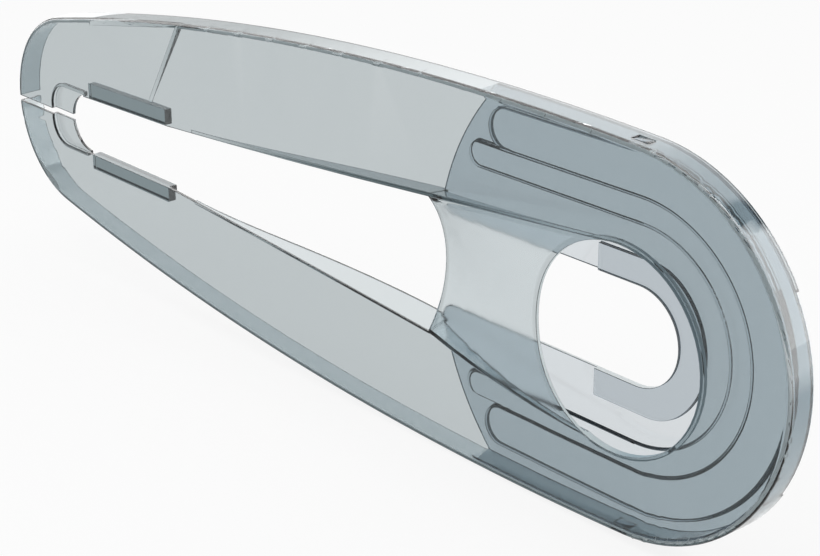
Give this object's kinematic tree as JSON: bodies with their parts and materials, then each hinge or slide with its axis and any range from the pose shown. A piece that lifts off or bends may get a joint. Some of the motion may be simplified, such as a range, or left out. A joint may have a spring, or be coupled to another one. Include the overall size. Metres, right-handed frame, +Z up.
{
  "type": "bicycle chain guard",
  "caption": "Clear smoke-tinted snap-together chain guard for a bicycle, with an open centre, crank hole and slotted back cover.",
  "frame": {"origin": "on the crank axis, in the plane of the bicycle-side edge", "axes": "+X forward, +Y from the outer face towards the bicycle, +Z up"},
  "size_m": [0.621, 0.0167, 0.2002],
  "materials": {
    "smoke_clear": "gloss"
  },
  "bodies": {
    "root": {"outer_shell": "smoke_clear", "back_cover": "smoke_clear"}
  },
  "joints": []
}
